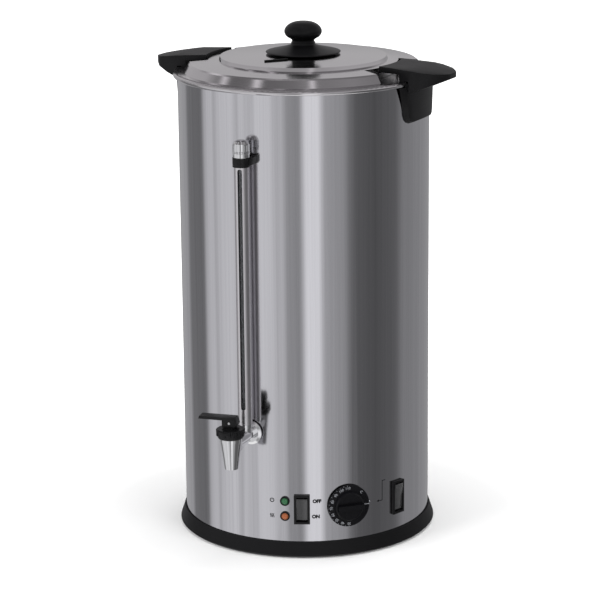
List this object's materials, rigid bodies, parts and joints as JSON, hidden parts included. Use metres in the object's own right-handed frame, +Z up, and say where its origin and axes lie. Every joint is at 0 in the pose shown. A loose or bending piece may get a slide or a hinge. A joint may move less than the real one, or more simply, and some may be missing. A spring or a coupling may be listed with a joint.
{
  "type": "hot water urn",
  "caption": "Double-walled electric hot water urn with lift-off lid, side handles, sight gauge, lever tap, temperature dial and rocker switches.",
  "frame": {"origin": "centre of the underside, on the surface the urn stands on", "axes": "+Z up, -Y to the front where the tap is, +X to the right seen from the front"},
  "size_m": [0.384, 0.3827, 0.6177],
  "materials": {
    "steel_brushed": "brushed",
    "steel_inner": "satin",
    "steel_polished": "polished",
    "steel_lid": "polished",
    "steel_tube": "satin",
    "black_plastic": "matte",
    "zinc_plate": "zinc plated",
    "zinc_screw": "zinc plated",
    "black_rubber": "matte",
    "black_knob": "satin",
    "black_handle": "satin",
    "gauge_glass": "clear",
    "chrome_fitting": "polished",
    "chrome_tap": "polished",
    "brass_nut": "machined",
    "black_bonnet": "satin",
    "silicone": "matte",
    "spring_steel": "drawn",
    "black_bezel": "semi-gloss",
    "green_lens": "gloss",
    "amber_lens": "gloss",
    "rocker_plastic": "gloss",
    "dial_plastic": "semi-gloss",
    "phenolic": "matte",
    "aluminium_plate": "cast",
    "element_sheath": "heat-tinted",
    "copper_bulb": "drawn",
    "terminal_nylon": "matte"
  },
  "bodies": {
    "urn": {"outer_shell": "steel_brushed", "tank_wall": "steel_inner", "tank_base": "steel_inner", "top_rim": "steel_polished", "base_ring": "black_plastic", "base_plate": "zinc_plate", "base_screws": "zinc_screw", "base_feet": "black_rubber", "right_handle": "black_handle", "left_handle": "black_handle", "grip_plates": "zinc_plate", "grip_screws": "zinc_screw", "gauge_shield": "steel_tube", "gauge_glass": "gauge_glass", "gauge_cap": "chrome_fitting", "gauge_clamp": "black_plastic", "clamp_screw": "zinc_screw", "gauge_nut": "chrome_fitting", "gauge_seal": "black_rubber", "tap_body": "chrome_tap", "tap_gasket": "black_rubber", "tap_spacer": "chrome_fitting", "tank_seal": "black_rubber", "tap_nut": "brass_nut", "tap_bonnet": "black_bonnet", "power_bezel": "black_bezel", "power_lens": "green_lens", "heating_bezel": "black_bezel", "heating_lens": "amber_lens", "main_switch_frame": "black_bezel", "mode_switch_frame": "black_bezel", "thermostat_case": "phenolic", "thermostat_saddle": "zinc_plate", "thermostat_screws": "zinc_screw", "heat_spreader": "aluminium_plate", "heating_element": "element_sheath", "element_clamp": "zinc_plate", "tank_stud": "zinc_screw", "stud_nut": "zinc_screw", "boil_dry_cutout": "phenolic", "sensing_bulb": "copper_bulb", "terminal_block": "terminal_nylon", "cord_gland": "black_bezel", "gland_nut": "black_bezel"},
    "lid": {"lid": "steel_lid", "lid_skirt": "steel_inner", "knob_shield": "black_knob", "lid_knob": "black_knob", "knob_washer": "zinc_screw", "knob_screw": "zinc_screw"},
    "swivel": {"swivel_washer": "black_bonnet", "tap_spring": "spring_steel"},
    "stem": {"tap_stem": "brass_nut", "seat_cup": "silicone", "lever_pin": "zinc_screw"},
    "lever": {"tap_lever": "black_bonnet"},
    "dial": {"temperature_dial": "dial_plastic", "dial_shaft": "brass_nut"},
    "main_rocker": {"main_rocker": "rocker_plastic"},
    "mode_rocker": {"mode_rocker": "rocker_plastic"}
  },
  "joints": [
    {"name": "lid_lift", "type": "slide", "parent": "urn", "child": "lid", "axis": [0, 0, 1], "range_m": [0, 0.12]},
    {"name": "lever_swivel", "type": "hinge", "parent": "urn", "child": "swivel", "pos_m": [0, -0.2028, 0.1715], "axis": [0, 0, 1], "range_deg": [0, 160]},
    {"name": "stem_lift", "type": "slide", "parent": "swivel", "child": "stem", "axis": [0, 0, 1], "range_m": [0, 0.00204], "stiffness_N_per_m": 100, "deforming": ["tap_spring"]},
    {"name": "lever_tilt", "type": "hinge", "parent": "stem", "child": "lever", "pos_m": [0, -0.2028, 0.179], "axis": [0.1736, -0.9848, 0], "range_deg": [0, 18]},
    {"name": "dial_turn", "type": "hinge", "parent": "urn", "child": "dial", "pos_m": [0.10514, -0.10699, 0.062], "axis": [0.7009, -0.7133, 0], "range_deg": [-270, 0]},
    {"name": "main_rock", "type": "hinge", "parent": "urn", "child": "main_rocker", "pos_m": [0.05791, -0.13446, 0.0598], "axis": [0.9184, 0.3955, 0], "range_deg": [-12, 0]},
    {"name": "mode_rock", "type": "hinge", "parent": "urn", "child": "mode_rocker", "pos_m": [0.13892, -0.04621, 0.0592], "axis": [0.3156, 0.9489, 0], "range_deg": [-12, 0]}
  ],
  "couplings": [
    {"joint": "lever_tilt", "follows": "stem_lift", "rad_per_m": 153.85}
  ]
}
